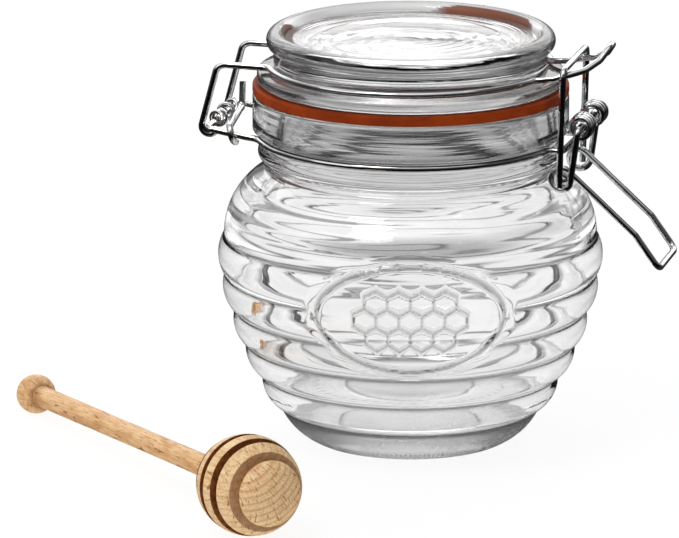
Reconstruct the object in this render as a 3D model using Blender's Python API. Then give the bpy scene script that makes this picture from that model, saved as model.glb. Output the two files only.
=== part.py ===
"""A beehive-shaped storage jar of clear glass with a clip-top lid, and a wooden honey dipper.

Metres, +Z up.  The origin is the middle of the jar's flat underside.  The toggle latch is
towards +X, the wire hinge towards -X, and both pivot axes run along Y.
"""
import math

import bmesh
import bpy
from mathutils import Matrix, Vector

# Jar, outer form: the valleys between its ridges, from the base up, as (radius, height)
BASE_RADIUS = 0.0245
VALLEYS = [(BASE_RADIUS, 0.0), (0.0355, 0.0098), (0.0400, 0.0184), (0.0445, 0.0272),
           (0.0474, 0.0364), (0.0502, 0.0462), (0.0504, 0.0570)]
RIDGE_BULGE = 0.0017
SHOULDER_TOP = (0.0417, 0.0740)
SHOULDER_BULGE = 0.0024
# The neck, its bead and the groove that the neck wire lies in, from the shoulder up
NECK = [(0.0396, 0.0755), (0.0388, 0.0772), (0.0406, 0.0786), (0.0412, 0.0800), (0.0408, 0.0816),
        (0.0402, 0.0824), (0.0402, 0.0857), (0.0426, 0.0865)]
FINISH_RADIUS = 0.0426
FINISH_CORNER = 0.0008
RIM_HEIGHT = 0.0958

# Jar, inner form
WALL = 0.0032
INNER_SWELL = 0.0006
FLOOR = [(0.0275, 0.0070), (0.0235, 0.0050), (0.0, 0.0050)]
MOUTH = [(0.0345, 0.0800), (0.0357, 0.0755)]

# Oval plate that stands flush with the ridges, on the side between latch and hinge
PLATE_AZIMUTH = math.radians(-77.0)
PLATE_HEIGHT = 0.0453
PLATE_HALF_WIDTH = 0.0288
PLATE_HALF_HEIGHT = 0.0168
PLATE_RISE = 0.0018
PLATE_EDGE = 0.16
PLATE_SWEEP = math.radians(72.0)

# Gasket and lid
FIT = 0.0003
GASKET_INNER = 0.0349
GASKET_THICKNESS = 0.0027
LID_FLANGE_RADIUS = 0.0414
LID_FLANGE_THICKNESS = 0.0033
LID_EDGE = 0.0010
LID_NECK_RADIUS = 0.0370
LID_NECK_FILLET = 0.0004
LID_RIM_RADIUS = 0.0363
LID_RIM_TUBE = 0.0026
LID_TOP = 0.1131
LID_RECESS_DEPTH = 0.0022
LID_RECESS_RADIUS = 0.0331
LID_HOLLOW = [(0.0296, 0.1044), (0.0276, 0.1063), (0.0, 0.1063)]
PLUG_OUTER = 0.0336
PLUG_INNER = 0.0306
PLUG_BOTTOM = 0.0950

# Wires
WIRE = 0.0009
NECK_RING_RADIUS = 0.0414
NECK_RING_HEIGHT = 0.0845
LID_RING_RADIUS = 0.0382
LID_RING_HEIGHT = 0.1037
NECK_RING_ENDS = (-20.5, -150.0)
LID_RING_ENDS = (-22.0, -152.0)
RING_STEPS = 13
TONGUE = [(0.0415, -0.0120, 0.1043), (0.0452, -0.0112, 0.1053), (0.0496, -0.0084, 0.1064),
          (0.0528, -0.0050, 0.1085), (0.0549, -0.0024, 0.1116), (0.0549, 0.0, 0.1118)]
TONGUE_ROOT_Y = -0.0123
HINGE = Vector((-0.0524, 0.0, 0.0868))
HINGE_ARM_Y = 0.0165
HINGE_ARM_BEND_X = -0.0425
HINGE_LEG_Y = 0.0140
HINGE_CORNER_X = -0.0500
CURL_RADIUS = 2 * WIRE + FIT
AXLE = Vector((0.0487, 0.0, 0.0910))
COIL_RADIUS = 0.0026
COIL_PITCH = 0.0021
COIL_TURNS = 2.75
COIL_OUTER_Y = 0.0110
COIL_STEPS = 26
LEVER_ARM_Y = 0.0133
LEVER_LEG_Y = 0.0112
HOOK_LEG_Y = 0.0154
HOOK_BAR = Vector((0.0450, 0.0, 0.1075))
HOOK_END = Vector((0.0441, 0.0, 0.0756))
EYE_CENTRE = Vector((0.04395, 0.0, 0.0772))
EYE_RADIUS = 0.0028
HANDLE_ANGLES = (math.radians(-42.0), math.radians(-54.0))
HANDLE_LENGTHS = (0.0245, 0.0112)
TIE_STUB = [(-0.0470, 0.0015, 0.0960), (-0.0470, 0.0005, 0.0893), (-0.0466, -0.0100, 0.0893)]
TIE_LOOP_CENTRE = Vector((-0.0470, -HINGE_ARM_Y, 0.0858))
TIE_LOOP_RADIUS = 0.0023
TIE_LOOP_DRIFT = 0.0024

# Honey dipper, lying on the surface beside the jar
DIPPER_LENGTH = 0.1550
DIPPER_HEAD_LENGTH = 0.0316
DIPPER_HEAD_RADIUS = 0.0132
DIPPER_HEAD_MIDDLE = 0.0170
DIPPER_HEAD_HALF = 0.0160
DIPPER_CORE = 0.0078
DIPPER_GROOVES = ((0.0050, 0.0074), (0.0112, 0.0138), (0.0172, 0.0196), (0.0230, 0.0254))
DIPPER_GROOVE_SLOPE = 0.0003
DIPPER_STEM_RADIUS = (0.0032, 0.0029)
DIPPER_NECK_RADIUS = 0.0023
DIPPER_KNOB_RADIUS = 0.0054
DIPPER_HEAD_AT = Vector((-0.0194, -0.1014, 0.0))
DIPPER_YAW = math.radians(130.5)
DIPPER_SINK = 0.0002

TURN_STEPS = 36
PLATE_STEPS = 14
REST_STEPS = 26


def clear_scene():
    for thing in list(bpy.data.objects):
        bpy.data.objects.remove(thing, do_unlink=True)


def material(name, colour, roughness, metallic=0.0, transmission=0.0):
    finish = bpy.data.materials.new(name)
    finish.use_nodes = True
    shader = finish.node_tree.nodes["Principled BSDF"]
    shader.inputs["Base Color"].default_value = (*colour, 1.0)
    shader.inputs["Roughness"].default_value = roughness
    shader.inputs["Metallic"].default_value = metallic
    shader.inputs["Transmission Weight"].default_value = transmission
    return finish


def bow(start, end, bulge, count):
    """Points of the circular arc from start to end, in (radius, height), bowed to the right of
    the way from start to end by bulge; the first point is left out"""
    start, end = Vector(start), Vector(end)
    chord = end - start
    along = chord.normalized()
    outward = Vector((along.y, -along.x))
    radius = (chord.length_squared / 4 + bulge * bulge) / (2 * bulge)
    centre = (start + end) / 2 - outward * (radius - bulge)
    half = math.asin(chord.length / 2 / radius)
    angles = [half * (2 * k / count - 1) for k in range(1, count + 1)]
    return [centre + outward * radius * math.cos(a) + along * radius * math.sin(a) for a in angles]


def corner(centre, radius, start_degrees, end_degrees, count=3):
    """Points of a rounded corner, in (radius, height), about centre"""
    angles = [math.radians(start_degrees + (end_degrees - start_degrees) * k / count)
              for k in range(count + 1)]
    return [Vector((centre[0] + radius * math.cos(a), centre[1] + radius * math.sin(a)))
            for a in angles]


def turned_mesh(name, outline, sweeps, closed=False):
    """The outline, in (radius, height), spun about Z through each (start, angle, steps) sweep"""
    mesh = bmesh.new()
    for start, angle, steps in sweeps:
        turn = Matrix.Rotation(start, 3, "Z")
        points = [mesh.verts.new(turn @ Vector((p[0], 0.0, p[1]))) for p in outline]
        pairs = list(zip(points, points[1:]))
        if closed:
            pairs.append((points[-1], points[0]))
        edges = [mesh.edges.new(pair) for pair in pairs]
        bmesh.ops.spin(mesh, geom=points + edges, cent=(0, 0, 0), axis=(0, 0, 1), dvec=(0, 0, 0),
                       angle=angle, steps=steps, use_merge=False, use_duplicate=False)
    bmesh.ops.remove_doubles(mesh, verts=mesh.verts, dist=1e-6)
    bmesh.ops.recalc_face_normals(mesh, faces=mesh.faces)
    data = bpy.data.meshes.new(name)
    mesh.to_mesh(data)
    mesh.free()
    return data


def add_piece(name, data, finish, smooth_degrees=50.0, parent=None):
    data.materials.append(finish)
    data.shade_smooth()
    data.set_sharp_from_angle(angle=math.radians(smooth_degrees))
    piece = bpy.data.objects.new(name, data)
    bpy.context.collection.objects.link(piece)
    piece.parent = parent
    return piece


def joint_axis(name, place):
    empty = bpy.data.objects.new(name, None)
    empty.location = place
    bpy.context.collection.objects.link(empty)
    return empty


def bent(corners, radius, steps=3):
    """A wire's centre line through the corners, each inner corner rounded to the radius"""
    line = [corners[0]]
    for before, here, after in zip(corners, corners[1:], corners[2:]):
        back, ahead = (before - here), (after - here)
        half = back.angle(ahead) / 2
        reach = min(radius / math.tan(half), 0.48 * back.length, 0.48 * ahead.length)
        bend = reach * math.tan(half)
        back.normalize()
        ahead.normalize()
        centre = here + (back + ahead).normalized() * bend / math.sin(half)
        first, last = here + back * reach - centre, here + ahead * reach - centre
        turn = first.angle(last)
        for k in range(steps + 1):
            share = k / steps
            weights = (math.sin((1 - share) * turn), math.sin(share * turn))
            line.append(centre + (first * weights[0] + last * weights[1]) / math.sin(turn))
    line.append(corners[-1])
    return line


def ring_run(radius, height, start_degrees, end_degrees, count):
    angles = [math.radians(start_degrees + (end_degrees - start_degrees) * k / count)
              for k in range(count + 1)]
    return [Vector((radius * math.cos(a), radius * math.sin(a), height)) for a in angles]


def mirrored(points):
    """The same points on the other side of the XZ plane, in the opposite order"""
    return [Vector((p.x, -p.y, p.z)) for p in reversed(points)]


def tangent_end(radius, height, degrees, side, to_y):
    """Where the line that leaves a ring at an azimuth, along its tangent, reaches y = to_y"""
    a = math.radians(degrees)
    start = Vector((radius * math.cos(a), radius * math.sin(a), height))
    along = Vector((-math.sin(a), math.cos(a), 0.0)) * side
    return start + along * ((to_y - start.y) / along.y)


def wire(name, points, finish, parent=None, closed=False):
    curve = bpy.data.curves.new(name, "CURVE")
    curve.dimensions = "3D"
    spline = curve.splines.new("POLY")
    spline.points.add(len(points) - 1)
    for spot, point in zip(spline.points, points):
        spot.co = (*point, 1.0)
    spline.use_cyclic_u = closed
    spline.use_smooth = True
    curve.bevel_depth = WIRE
    curve.bevel_resolution = 1
    curve.use_fill_caps = not closed
    curve.materials.append(finish)
    piece = bpy.data.objects.new(name, curve)
    bpy.context.collection.objects.link(piece)
    if parent:
        piece.parent = parent
        piece.matrix_parent_inverse = Matrix.Translation(-parent.location)
    return piece


def jar_outline():
    """From the axis at the underside, out, up the ridges, over the rim and down inside"""
    outline = [Vector((0.0, 0.0)), Vector(VALLEYS[0])]
    for low, high in zip(VALLEYS, VALLEYS[1:]):
        outline += bow(low, high, RIDGE_BULGE, 4)
    outline += bow(VALLEYS[-1], SHOULDER_TOP, SHOULDER_BULGE, 5)
    outline += [Vector(spot) for spot in NECK]
    edge_height = RIM_HEIGHT - FINISH_CORNER
    outline += corner((FINISH_RADIUS - FINISH_CORNER, edge_height), FINISH_CORNER, 0, 90)
    outline += corner((MOUTH[0][0] + FINISH_CORNER, edge_height), FINISH_CORNER, 90, 180)
    outline += [Vector(spot) for spot in MOUTH]
    inner = [Vector((r - WALL, z)) for r, z in VALLEYS[1:]]
    outline += reversed(bow(inner[-1], outline[-1], SHOULDER_BULGE, 4)[:-1])
    for high, low in zip(reversed(inner), reversed(inner[:-1])):
        outline += [high, (high + low) / 2 + Vector((INNER_SWELL, -INNER_SWELL / 2))]
    return outline + [inner[0]] + [Vector(spot) for spot in FLOOR]


def plate_radius(height):
    """The straight chords between the valleys, raised to the crests of the ridges"""
    stations = VALLEYS + [SHOULDER_TOP]
    for low, high in zip(stations, stations[1:]):
        if low[1] <= height <= high[1]:
            share = (height - low[1]) / (high[1] - low[1])
            return low[0] + (high[0] - low[0]) * share + PLATE_RISE
    return 0.0


def raise_plate(data):
    """Lifts the valleys inside the oval to the crests, on the outer face only"""
    for vertex in data.vertices:
        radius = math.hypot(vertex.co.x, vertex.co.y)
        target = plate_radius(vertex.co.z)
        if radius < target - PLATE_RISE - WALL / 2 or radius >= target:
            continue
        turn = math.atan2(vertex.co.y, vertex.co.x) - PLATE_AZIMUTH
        across = turn * VALLEYS[-1][0] / PLATE_HALF_WIDTH
        up = (vertex.co.z - PLATE_HEIGHT) / PLATE_HALF_HEIGHT
        lift = min(1.0, max(0.0, (1.0 + PLATE_EDGE / 2 - math.hypot(across, up)) / PLATE_EDGE))
        raised = radius + (target - radius) * lift
        vertex.co.x *= raised / radius
        vertex.co.y *= raised / radius


def make_jar(glass):
    fine_start = PLATE_AZIMUTH - PLATE_SWEEP / 2
    sweeps = [(fine_start, PLATE_SWEEP, PLATE_STEPS),
              (fine_start + PLATE_SWEEP, 2 * math.pi - PLATE_SWEEP, REST_STEPS)]
    data = turned_mesh("jar", jar_outline(), sweeps)
    raise_plate(data)
    return add_piece("jar", data, glass)


def ring_outline(inner, outer, bottom, top, edge):
    """A flat ring's section with its four corners rounded to edge"""
    return (corner((outer - edge, bottom + edge), edge, -90, 0, 2)
            + corner((outer - edge, top - edge), edge, 0, 90, 2)
            + corner((inner + edge, top - edge), edge, 90, 180, 2)
            + corner((inner + edge, bottom + edge), edge, 180, 270, 2))


def make_gasket(rubber, parent):
    bottom = RIM_HEIGHT + FIT
    outline = ring_outline(GASKET_INNER, FINISH_RADIUS, bottom, bottom + GASKET_THICKNESS, 0.0005)
    data = turned_mesh("gasket", outline, [(0.0, 2 * math.pi, TURN_STEPS)], closed=True)
    return add_moving(data, "gasket", rubber, parent)


def add_moving(data, name, finish, parent):
    """A piece on a joint's empty: its mesh is moved so that its origin is on the joint's axis"""
    data.transform(Matrix.Translation(-parent.location))
    return add_piece(name, data, finish, parent=parent)


def lid_outline():
    """From the axis at the recess, out over the tube-like rim, down to the flange and plug"""
    recess = LID_TOP - LID_RECESS_DEPTH
    rim_height = LID_TOP - LID_RIM_TUBE
    flange_bottom = RIM_HEIGHT + 2 * FIT + GASKET_THICKNESS
    flange_top = flange_bottom + LID_FLANGE_THICKNESS
    outline = [Vector((0.0, recess)), Vector((LID_RECESS_RADIUS, recess))]
    outline += corner((LID_RIM_RADIUS, rim_height), LID_RIM_TUBE, 168, -66, 9)
    outline += [Vector((LID_NECK_RADIUS, rim_height - LID_RIM_TUBE - LID_NECK_FILLET)),
                Vector((LID_NECK_RADIUS, flange_top + LID_NECK_FILLET))]
    edge = LID_EDGE
    outline += corner((LID_FLANGE_RADIUS - edge, flange_top - edge), edge, 80, 0, 2)
    outline += corner((LID_FLANGE_RADIUS - edge, flange_bottom + edge), edge, 0, -90, 2)
    outline += [Vector((PLUG_OUTER, flange_bottom))]
    outline += corner((PLUG_OUTER - edge, PLUG_BOTTOM + edge), edge, 0, -90, 2)
    outline += corner((PLUG_INNER + edge, PLUG_BOTTOM + edge), edge, -90, -180, 2)
    return outline + [Vector(spot) for spot in LID_HOLLOW]


def make_lid(glass, parent):
    data = turned_mesh("lid", lid_outline(), [(0.0, 2 * math.pi, TURN_STEPS)])
    return add_moving(data, "lid", glass, parent)


def make_neck_wire(steel):
    """One wire: a coil round the lever's axle, half the neck, the hinge bar, and back again"""
    coil = []
    for k in range(COIL_STEPS + 1):
        turn = 2 * math.pi * COIL_TURNS * k / COIL_STEPS
        angle = -math.pi / 2 + turn
        coil.append(AXLE + Vector((COIL_RADIUS * math.cos(angle),
                                   -COIL_OUTER_Y + COIL_PITCH * turn / (2 * math.pi),
                                   COIL_RADIUS * math.sin(angle))))
    ring_to_latch, ring_to_hinge = NECK_RING_ENDS
    z = NECK_RING_HEIGHT
    latch_turn = tangent_end(NECK_RING_RADIUS, z, ring_to_latch, 1, -COIL_OUTER_Y)
    rise = [ring_run(NECK_RING_RADIUS, z, ring_to_latch, ring_to_latch, 1)[0], latch_turn,
            Vector((latch_turn.x + 0.0040, -COIL_OUTER_Y, z)),
            Vector((AXLE.x - 0.0008, -COIL_OUTER_Y, AXLE.z - COIL_RADIUS)), coil[0]]
    hinge_turn = tangent_end(NECK_RING_RADIUS, z, ring_to_hinge, -1, -HINGE_ARM_Y)
    arm = [ring_run(NECK_RING_RADIUS, z, ring_to_hinge, ring_to_hinge, 1)[0], hinge_turn,
           Vector((HINGE_ARM_BEND_X, -HINGE_ARM_Y, z + 0.0006)),
           Vector((HINGE.x, -HINGE_ARM_Y, HINGE.z)),
           Vector((HINGE.x, 0.0, HINGE.z))]
    near = (list(reversed(coil[1:])) + list(reversed(bent(rise, 0.0022)))
            + ring_run(NECK_RING_RADIUS, z, ring_to_latch, ring_to_hinge, RING_STEPS)[1:-1]
            + bent(arm, 0.0016)[:-1])
    return wire("neck_wire", near + mirrored(near), steel)


def make_lid_wire(steel, parent):
    """One wire: a curl round the hinge bar, a leg, half the lid's neck, the tongue, and back"""
    corner_point = Vector((HINGE_CORNER_X, 0.0, LID_RING_HEIGHT + 0.0003))
    offset = corner_point - HINGE
    touch = math.atan2(offset.z, offset.x) + math.acos(CURL_RADIUS / offset.length)
    curl_count = 8
    curl_end = math.radians(340.0)
    curl = []
    for k in range(curl_count + 1):
        angle = curl_end + (touch - curl_end) * k / curl_count
        curl.append(HINGE + Vector((CURL_RADIUS * math.cos(angle), -HINGE_LEG_Y,
                                    CURL_RADIUS * math.sin(angle))))
    ring_to_latch, ring_to_hinge = LID_RING_ENDS
    z = LID_RING_HEIGHT
    hinge_turn = tangent_end(LID_RING_RADIUS, z, ring_to_hinge, -1, -HINGE_LEG_Y)
    leg = [curl[-1], Vector((HINGE_CORNER_X, -HINGE_LEG_Y, corner_point.z)), hinge_turn,
           ring_run(LID_RING_RADIUS, z, ring_to_hinge, ring_to_hinge, 1)[0]]
    tongue_turn = tangent_end(LID_RING_RADIUS, z, ring_to_latch, 1, TONGUE_ROOT_Y)
    tongue = [ring_run(LID_RING_RADIUS, z, ring_to_latch, ring_to_latch, 1)[0], tongue_turn]
    tongue += [Vector(spot) for spot in TONGUE]
    near = (curl[:-1] + bent(leg, 0.0027)
            + ring_run(LID_RING_RADIUS, z, ring_to_hinge, ring_to_latch, RING_STEPS)[1:-1]
            + bent(tongue, 0.0030, 2)[:-1])
    return wire("lid_wire", near + mirrored(near), steel, parent)


def make_hook(steel, parent):
    """The inverted U that the lever pulls down over the tongue"""
    corners = [Vector((HOOK_END.x, -HOOK_LEG_Y, HOOK_END.z)), Vector((HOOK_BAR.x, -HOOK_LEG_Y, HOOK_BAR.z)),
               Vector((HOOK_BAR.x, HOOK_LEG_Y, HOOK_BAR.z)), Vector((HOOK_END.x, HOOK_LEG_Y, HOOK_END.z))]
    return wire("hook", bent(corners, 0.0022, 4), steel, parent)


def make_lever(steel, parent):
    """One closed wire: the axle, an arm with an eye on each side, and the finger loop"""
    offset = AXLE - EYE_CENTRE
    start = math.atan2(offset.z, offset.x) - math.acos(EYE_RADIUS / offset.length)
    end = HANDLE_ANGLES[0] + math.pi / 2 - 2 * math.pi
    eye_count = 14
    eye = []
    for k in range(eye_count + 1):
        share = k / eye_count
        angle = start + (end - start) * share
        across = LEVER_ARM_Y + (LEVER_LEG_Y - LEVER_ARM_Y) * share
        eye.append(EYE_CENTRE + Vector((EYE_RADIUS * math.cos(angle), -across,
                                        EYE_RADIUS * math.sin(angle))))
    bends = [eye[-1]]
    for angle, length in zip(HANDLE_ANGLES, HANDLE_LENGTHS):
        bends.append(bends[-1] + Vector((math.cos(angle), 0.0, math.sin(angle))) * length)
    tip_middle = Vector((bends[-1].x, 0.0, bends[-1].z))
    top = bent([AXLE, Vector((AXLE.x, -LEVER_ARM_Y, AXLE.z)), eye[0]], 0.0014, 4)
    near = top[1:-1] + eye + bent(bends + [tip_middle], 0.0024, 4)[1:-1]
    return wire("lever", near + mirrored(near), steel, parent, closed=True)


def make_hinge_tie(steel):
    """A tie wire with a cut stub, which runs behind the hinge and loops round one arm"""
    loop_count = 8
    loop = []
    for k in range(loop_count + 1):
        share = k / loop_count
        angle = math.radians(35.0 + 230.0 * share)
        loop.append(TIE_LOOP_CENTRE + Vector((0.0004 + TIE_LOOP_DRIFT * share,
                                              TIE_LOOP_RADIUS * math.cos(angle),
                                              TIE_LOOP_RADIUS * math.sin(angle))))
    stub = [Vector(spot) for spot in TIE_STUB]
    return wire("hinge_tie", bent(stub, 0.0016)[:-1] + loop, steel)


def dipper_head_radius(distance):
    """The round envelope of the head, at a distance from its tip"""
    reach = (distance - DIPPER_HEAD_MIDDLE) / DIPPER_HEAD_HALF
    return DIPPER_HEAD_RADIUS * math.sqrt(max(0.0, 1.0 - reach * reach))


def dipper_outline():
    """The head's five lands and four grooves, the stem and the knob, along the dipper's axis
    from the head's tip, as (radius, distance)"""
    land_starts = [0.0] + [end for _, end in DIPPER_GROOVES]
    land_ends = [start for start, _ in DIPPER_GROOVES] + [DIPPER_HEAD_LENGTH]
    cap, cap_radius = land_ends[0], dipper_head_radius(land_ends[0])
    outline = [Vector((0.0, 0.0))]
    for share in (0.3, 0.6, 0.85, 1.0):
        angle = share * math.pi / 2
        outline.append(Vector((cap_radius * math.sin(angle), cap * (1 - math.cos(angle)))))
    for start, end in zip(land_starts[1:], land_ends[1:]):
        outline += [Vector((DIPPER_CORE, outline[-1].y + DIPPER_GROOVE_SLOPE)),
                    Vector((DIPPER_CORE, start - DIPPER_GROOVE_SLOPE)),
                    Vector((dipper_head_radius(start), start))]
        if end == DIPPER_HEAD_LENGTH:
            outline.append(Vector((dipper_head_radius((start + end) / 2), (start + end) / 2)))
        outline.append(Vector((dipper_head_radius(end), end)))
    knob = DIPPER_LENGTH - DIPPER_KNOB_RADIUS
    outline += [Vector((DIPPER_STEM_RADIUS[0], DIPPER_HEAD_LENGTH + 0.0012)),
                Vector((DIPPER_STEM_RADIUS[1], knob - 0.0058)),
                Vector((DIPPER_NECK_RADIUS, knob - 0.0050)),
                Vector((DIPPER_STEM_RADIUS[1], knob - 0.0043))]
    outline += [Vector((DIPPER_KNOB_RADIUS * math.sin(math.radians(a)),
                        knob - DIPPER_KNOB_RADIUS * math.cos(math.radians(a))))
                for a in (55.0, 85.0, 115.0, 145.0)]
    outline.append(Vector((0.0, DIPPER_LENGTH)))
    return outline


def make_dipper(wood):
    """Lying down: the head and the knob both touch the surface"""
    knob = DIPPER_LENGTH - DIPPER_KNOB_RADIUS
    fall = math.asin((DIPPER_HEAD_RADIUS - DIPPER_KNOB_RADIUS) / (knob - DIPPER_HEAD_MIDDLE))
    data = turned_mesh("dipper", dipper_outline(), [(math.radians(10.0), 2 * math.pi, 18)])
    lay = (Matrix.Translation(DIPPER_HEAD_AT + Vector((0.0, 0.0, DIPPER_HEAD_RADIUS - DIPPER_SINK)))
           @ Matrix.Rotation(DIPPER_YAW, 4, "Z") @ Matrix.Rotation(math.pi / 2 + fall, 4, "Y")
           @ Matrix.Translation((0.0, 0.0, -DIPPER_HEAD_MIDDLE)))
    data.transform(lay)
    for vertex in data.vertices:
        vertex.co.z = max(vertex.co.z, 0.0)
    return add_piece("dipper", data, wood)


def build():
    clear_scene()
    glass = material("clear_glass", (0.92, 0.95, 0.95), 0.02, transmission=1.0)
    rubber = material("orange_rubber", (0.40, 0.08, 0.02), 0.55)
    steel = material("bright_wire", (0.72, 0.72, 0.72), 0.15, metallic=1.0)
    wood = material("beech_wood", (0.73, 0.47, 0.22), 0.6)
    hinge_axis = joint_axis("hinge_axis", HINGE)
    axle_axis = joint_axis("axle_axis", AXLE)
    hook_axis = joint_axis("hook_axis", HOOK_BAR)
    make_jar(glass)
    make_neck_wire(steel)
    make_hinge_tie(steel)
    make_lid(glass, hinge_axis)
    make_gasket(rubber, hinge_axis)
    make_lid_wire(steel, hinge_axis)
    make_hook(steel, hook_axis)
    make_lever(steel, axle_axis)
    make_dipper(wood)


build()
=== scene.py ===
"""Looks for the beehive honey jar and its wooden dipper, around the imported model.

Metres, +Z up, origin in the middle of the jar's underside, latch towards +X, hinge towards -X.
"""

import math

import bmesh
import bpy
import numpy as np
from mathutils import Matrix, Vector


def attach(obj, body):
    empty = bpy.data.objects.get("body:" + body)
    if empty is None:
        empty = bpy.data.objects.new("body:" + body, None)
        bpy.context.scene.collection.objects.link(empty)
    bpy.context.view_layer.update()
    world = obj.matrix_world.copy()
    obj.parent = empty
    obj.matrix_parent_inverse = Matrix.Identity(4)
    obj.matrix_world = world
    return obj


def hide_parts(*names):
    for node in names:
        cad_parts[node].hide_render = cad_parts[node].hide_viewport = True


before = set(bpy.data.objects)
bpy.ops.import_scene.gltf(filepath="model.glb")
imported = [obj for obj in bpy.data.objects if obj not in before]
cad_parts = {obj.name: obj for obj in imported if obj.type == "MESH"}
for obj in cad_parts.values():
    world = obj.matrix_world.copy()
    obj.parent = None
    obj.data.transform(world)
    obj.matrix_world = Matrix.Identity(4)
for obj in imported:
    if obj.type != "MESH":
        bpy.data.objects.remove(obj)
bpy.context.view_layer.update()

# Jar, outer form: the valleys between its ridges, from the base up, as (radius, height)
VALLEYS = [(0.0245, 0.0), (0.0355, 0.0098), (0.0400, 0.0184), (0.0445, 0.0272),
           (0.0474, 0.0364), (0.0502, 0.0462), (0.0504, 0.0570)]
RIDGE_BULGE = 0.0017
RIDGE_STEPS = 24
SHOULDER_TOP = (0.0417, 0.0740)
SHOULDER_BULGE = 0.0024
NECK = [(0.0396, 0.0755), (0.0388, 0.0772), (0.0406, 0.0786), (0.0412, 0.0800), (0.0408, 0.0816),
        (0.0402, 0.0824), (0.0402, 0.0857), (0.0426, 0.0865)]
FINISH_RADIUS = 0.0426
FINISH_CORNER = 0.0008
RIM_HEIGHT = 0.0958
UNDERSIDE = [(0.0, 0.0014), (0.0175, 0.0012), (0.0200, 0.0003), (0.0215, 0.0)]

# Jar, inner form
WALL = 0.0032
INNER_SWELL = 0.0006
FLOOR = [(0.0275, 0.0070), (0.0235, 0.0050), (0.0, 0.0050)]
MOUTH = [(0.0345, 0.0800), (0.0357, 0.0755)]

# Grips pressed into the standing ring and the row of dots above it: the ring's radius and the
# row's height, each with its reach
GRIP_COUNT = 64
GRIP_DEPTH = 0.0003
GRIP_RING = (0.0222, 0.0012)
GRIP_BELOW = 0.0012
DOT_COUNT = 150
DOT_DEPTH = 0.0001
DOT_LEVEL = (0.0027, 0.0006)
DOT_SHADE = 0.8

# What each mesh of glass says about its own spots, which its material reads: where painted shade lies,
# and where the painted reflection of the orange seal lies
GLASS_KINDS = ("crease_shade", "thick", "drawn", "frosted", "warm")

# How far the painted shade reaches about each valley; how grey the jar is painted, as painted shade;
# how far it is drawn out in level folds, which take painted shade too; and how dull it is, each as
# (height, amount). The back of the jar takes a share of the first two
CREASE_REACH = 0.0007
JAR_SHADE = [(0.0090, 0.30), (0.0110, 0.0), (0.0740, 0.0), (0.0775, 0.35), (0.0830, 0.6),
             (0.0866, 1.0), (0.0880, 0.30), (0.0905, 0.0), (0.0930, 0.1), (0.0955, 0.9)]
DRAWN_OUT = [(0.0080, 0.4), (0.0140, 0.12), (0.0560, 0.15), (0.0620, 1.0), (0.0720, 1.0),
             (0.0760, 0.2), (0.0785, 0.0)]
DRAWN_BEYOND = 0.038
BACK_SHARE = 0.40
FROSTED = [(0.0004, 0.2), (0.0016, 1.0), (0.0080, 1.0), (0.0105, 0.0), (0.0840, 0.0), (0.0870, 0.1),
           (0.0958, 0.1)]

# Oval plate with its raised border and honeycomb
PLATE_AZIMUTH = math.radians(-77.0)
PLATE_HEIGHT = 0.0453
PLATE_HALF_WIDTH = 0.0288
PLATE_HALF_HEIGHT = 0.0168
PLATE_RISE = 0.0018
PLATE_EDGE = 0.10
PLATE_SWEEP = math.radians(72.0)
PLATE_STEPS = 190
REST_STEPS = 120
BORDER_AT = 0.88
BORDER_RELIEF = 0.00070
BORDER_WIDTH = 0.00065
LINE_SHADE = 0.85
CELL_HALF = 0.0030
CELL_ROWS = ((-1, 4), (0, 5), (1, 4))
CELL_RELIEF = 0.00060
CELL_LINE = 0.00042

# Gasket and lid
FIT = 0.0003
GASKET_INNER = 0.0349
GASKET_THICKNESS = 0.0027
LID_FLANGE_RADIUS = 0.0414
LID_FLANGE_THICKNESS = 0.0033
LID_EDGE = 0.0010
LID_NECK_RADIUS = 0.0370
LID_NECK_FILLET = 0.0004
LID_RIM_RADIUS = 0.0363
LID_RIM_TUBE = 0.0026
LID_TOP = 0.1131
LID_RECESS_DEPTH = 0.0022
LID_RECESS_RADIUS = 0.0331
LID_HOLLOW = [(0.0296, 0.1044), (0.0276, 0.1063), (0.0, 0.1063)]
PLUG_OUTER = 0.0336
PLUG_INNER = 0.0306
PLUG_BOTTOM = 0.0950

# Floor of the lid's recess: a step as (radius, softness, height), ripples as (length, height)
# and rings near its edge as (start, length, height)
DISH_STEPS = 110
DISH_SINK = 0.0001
DISH_STEP = (0.0245, 0.00025, 0.00022)
DISH_RIPPLE = (0.0042, 0.000020)
DISH_RINGS = (0.0285, 0.0012, 0.00005)

# Lid's glass: where its thick side, which takes painted shade, starts and over what width, and the
# painted shade of the crease below its rim as (height, reach, amount)
LID_SIDE = (0.0345, 0.0015)
LID_CREASE = (0.1076, 0.0008, 0.6)

# Painted reflection of the orange seal, in brown: crescents beside the recess, as (turn, reach), and
# the painted part of the plug, between two radii and below a height
CRESCENT_TURNS = ((math.radians(60.0), 0.62), (math.radians(-166.0), 0.42))
CRESCENT_RADIUS = 0.0316
CRESCENT_WIDTH = 0.0036
CRESCENT_LEVEL = 0.1101
PLUG_REFLECTING = (0.0325, 0.0380, 0.0998)
PLUG_SEAL_REFLECTION = 0.7

# Uneven places of the recess as (x, y, reach, amount), which also take painted shade, a dimple as (x,
# y, reach, depth) and a groove as (radius, reach, depth) at some turns
DISH_EDGE = 0.0004
DISH_DEEPEST = 0.0008
LID_UNEVEN = ((0.0090, -0.0010, 0.0070, 1.0), (0.0255, -0.0010, 0.0060, 1.0),
              (0.0190, -0.0165, 0.0070, 0.9), (-0.0180, -0.0244, 0.0040, 0.7),
              (-0.0125, 0.0173, 0.0060, 0.4))
LID_DIMPLE = (0.0054, 0.0054, 0.0090, 0.0008)
LID_GROOVE = (0.0290, 0.0020, 0.0003)
LID_GROOVE_TURNS = ((math.radians(-27.0), 0.60), (math.radians(-127.0), 0.30))
LID_WAVE_LENGTH = 0.0034
LID_WAVE_DEPTH = 0.00009

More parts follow.
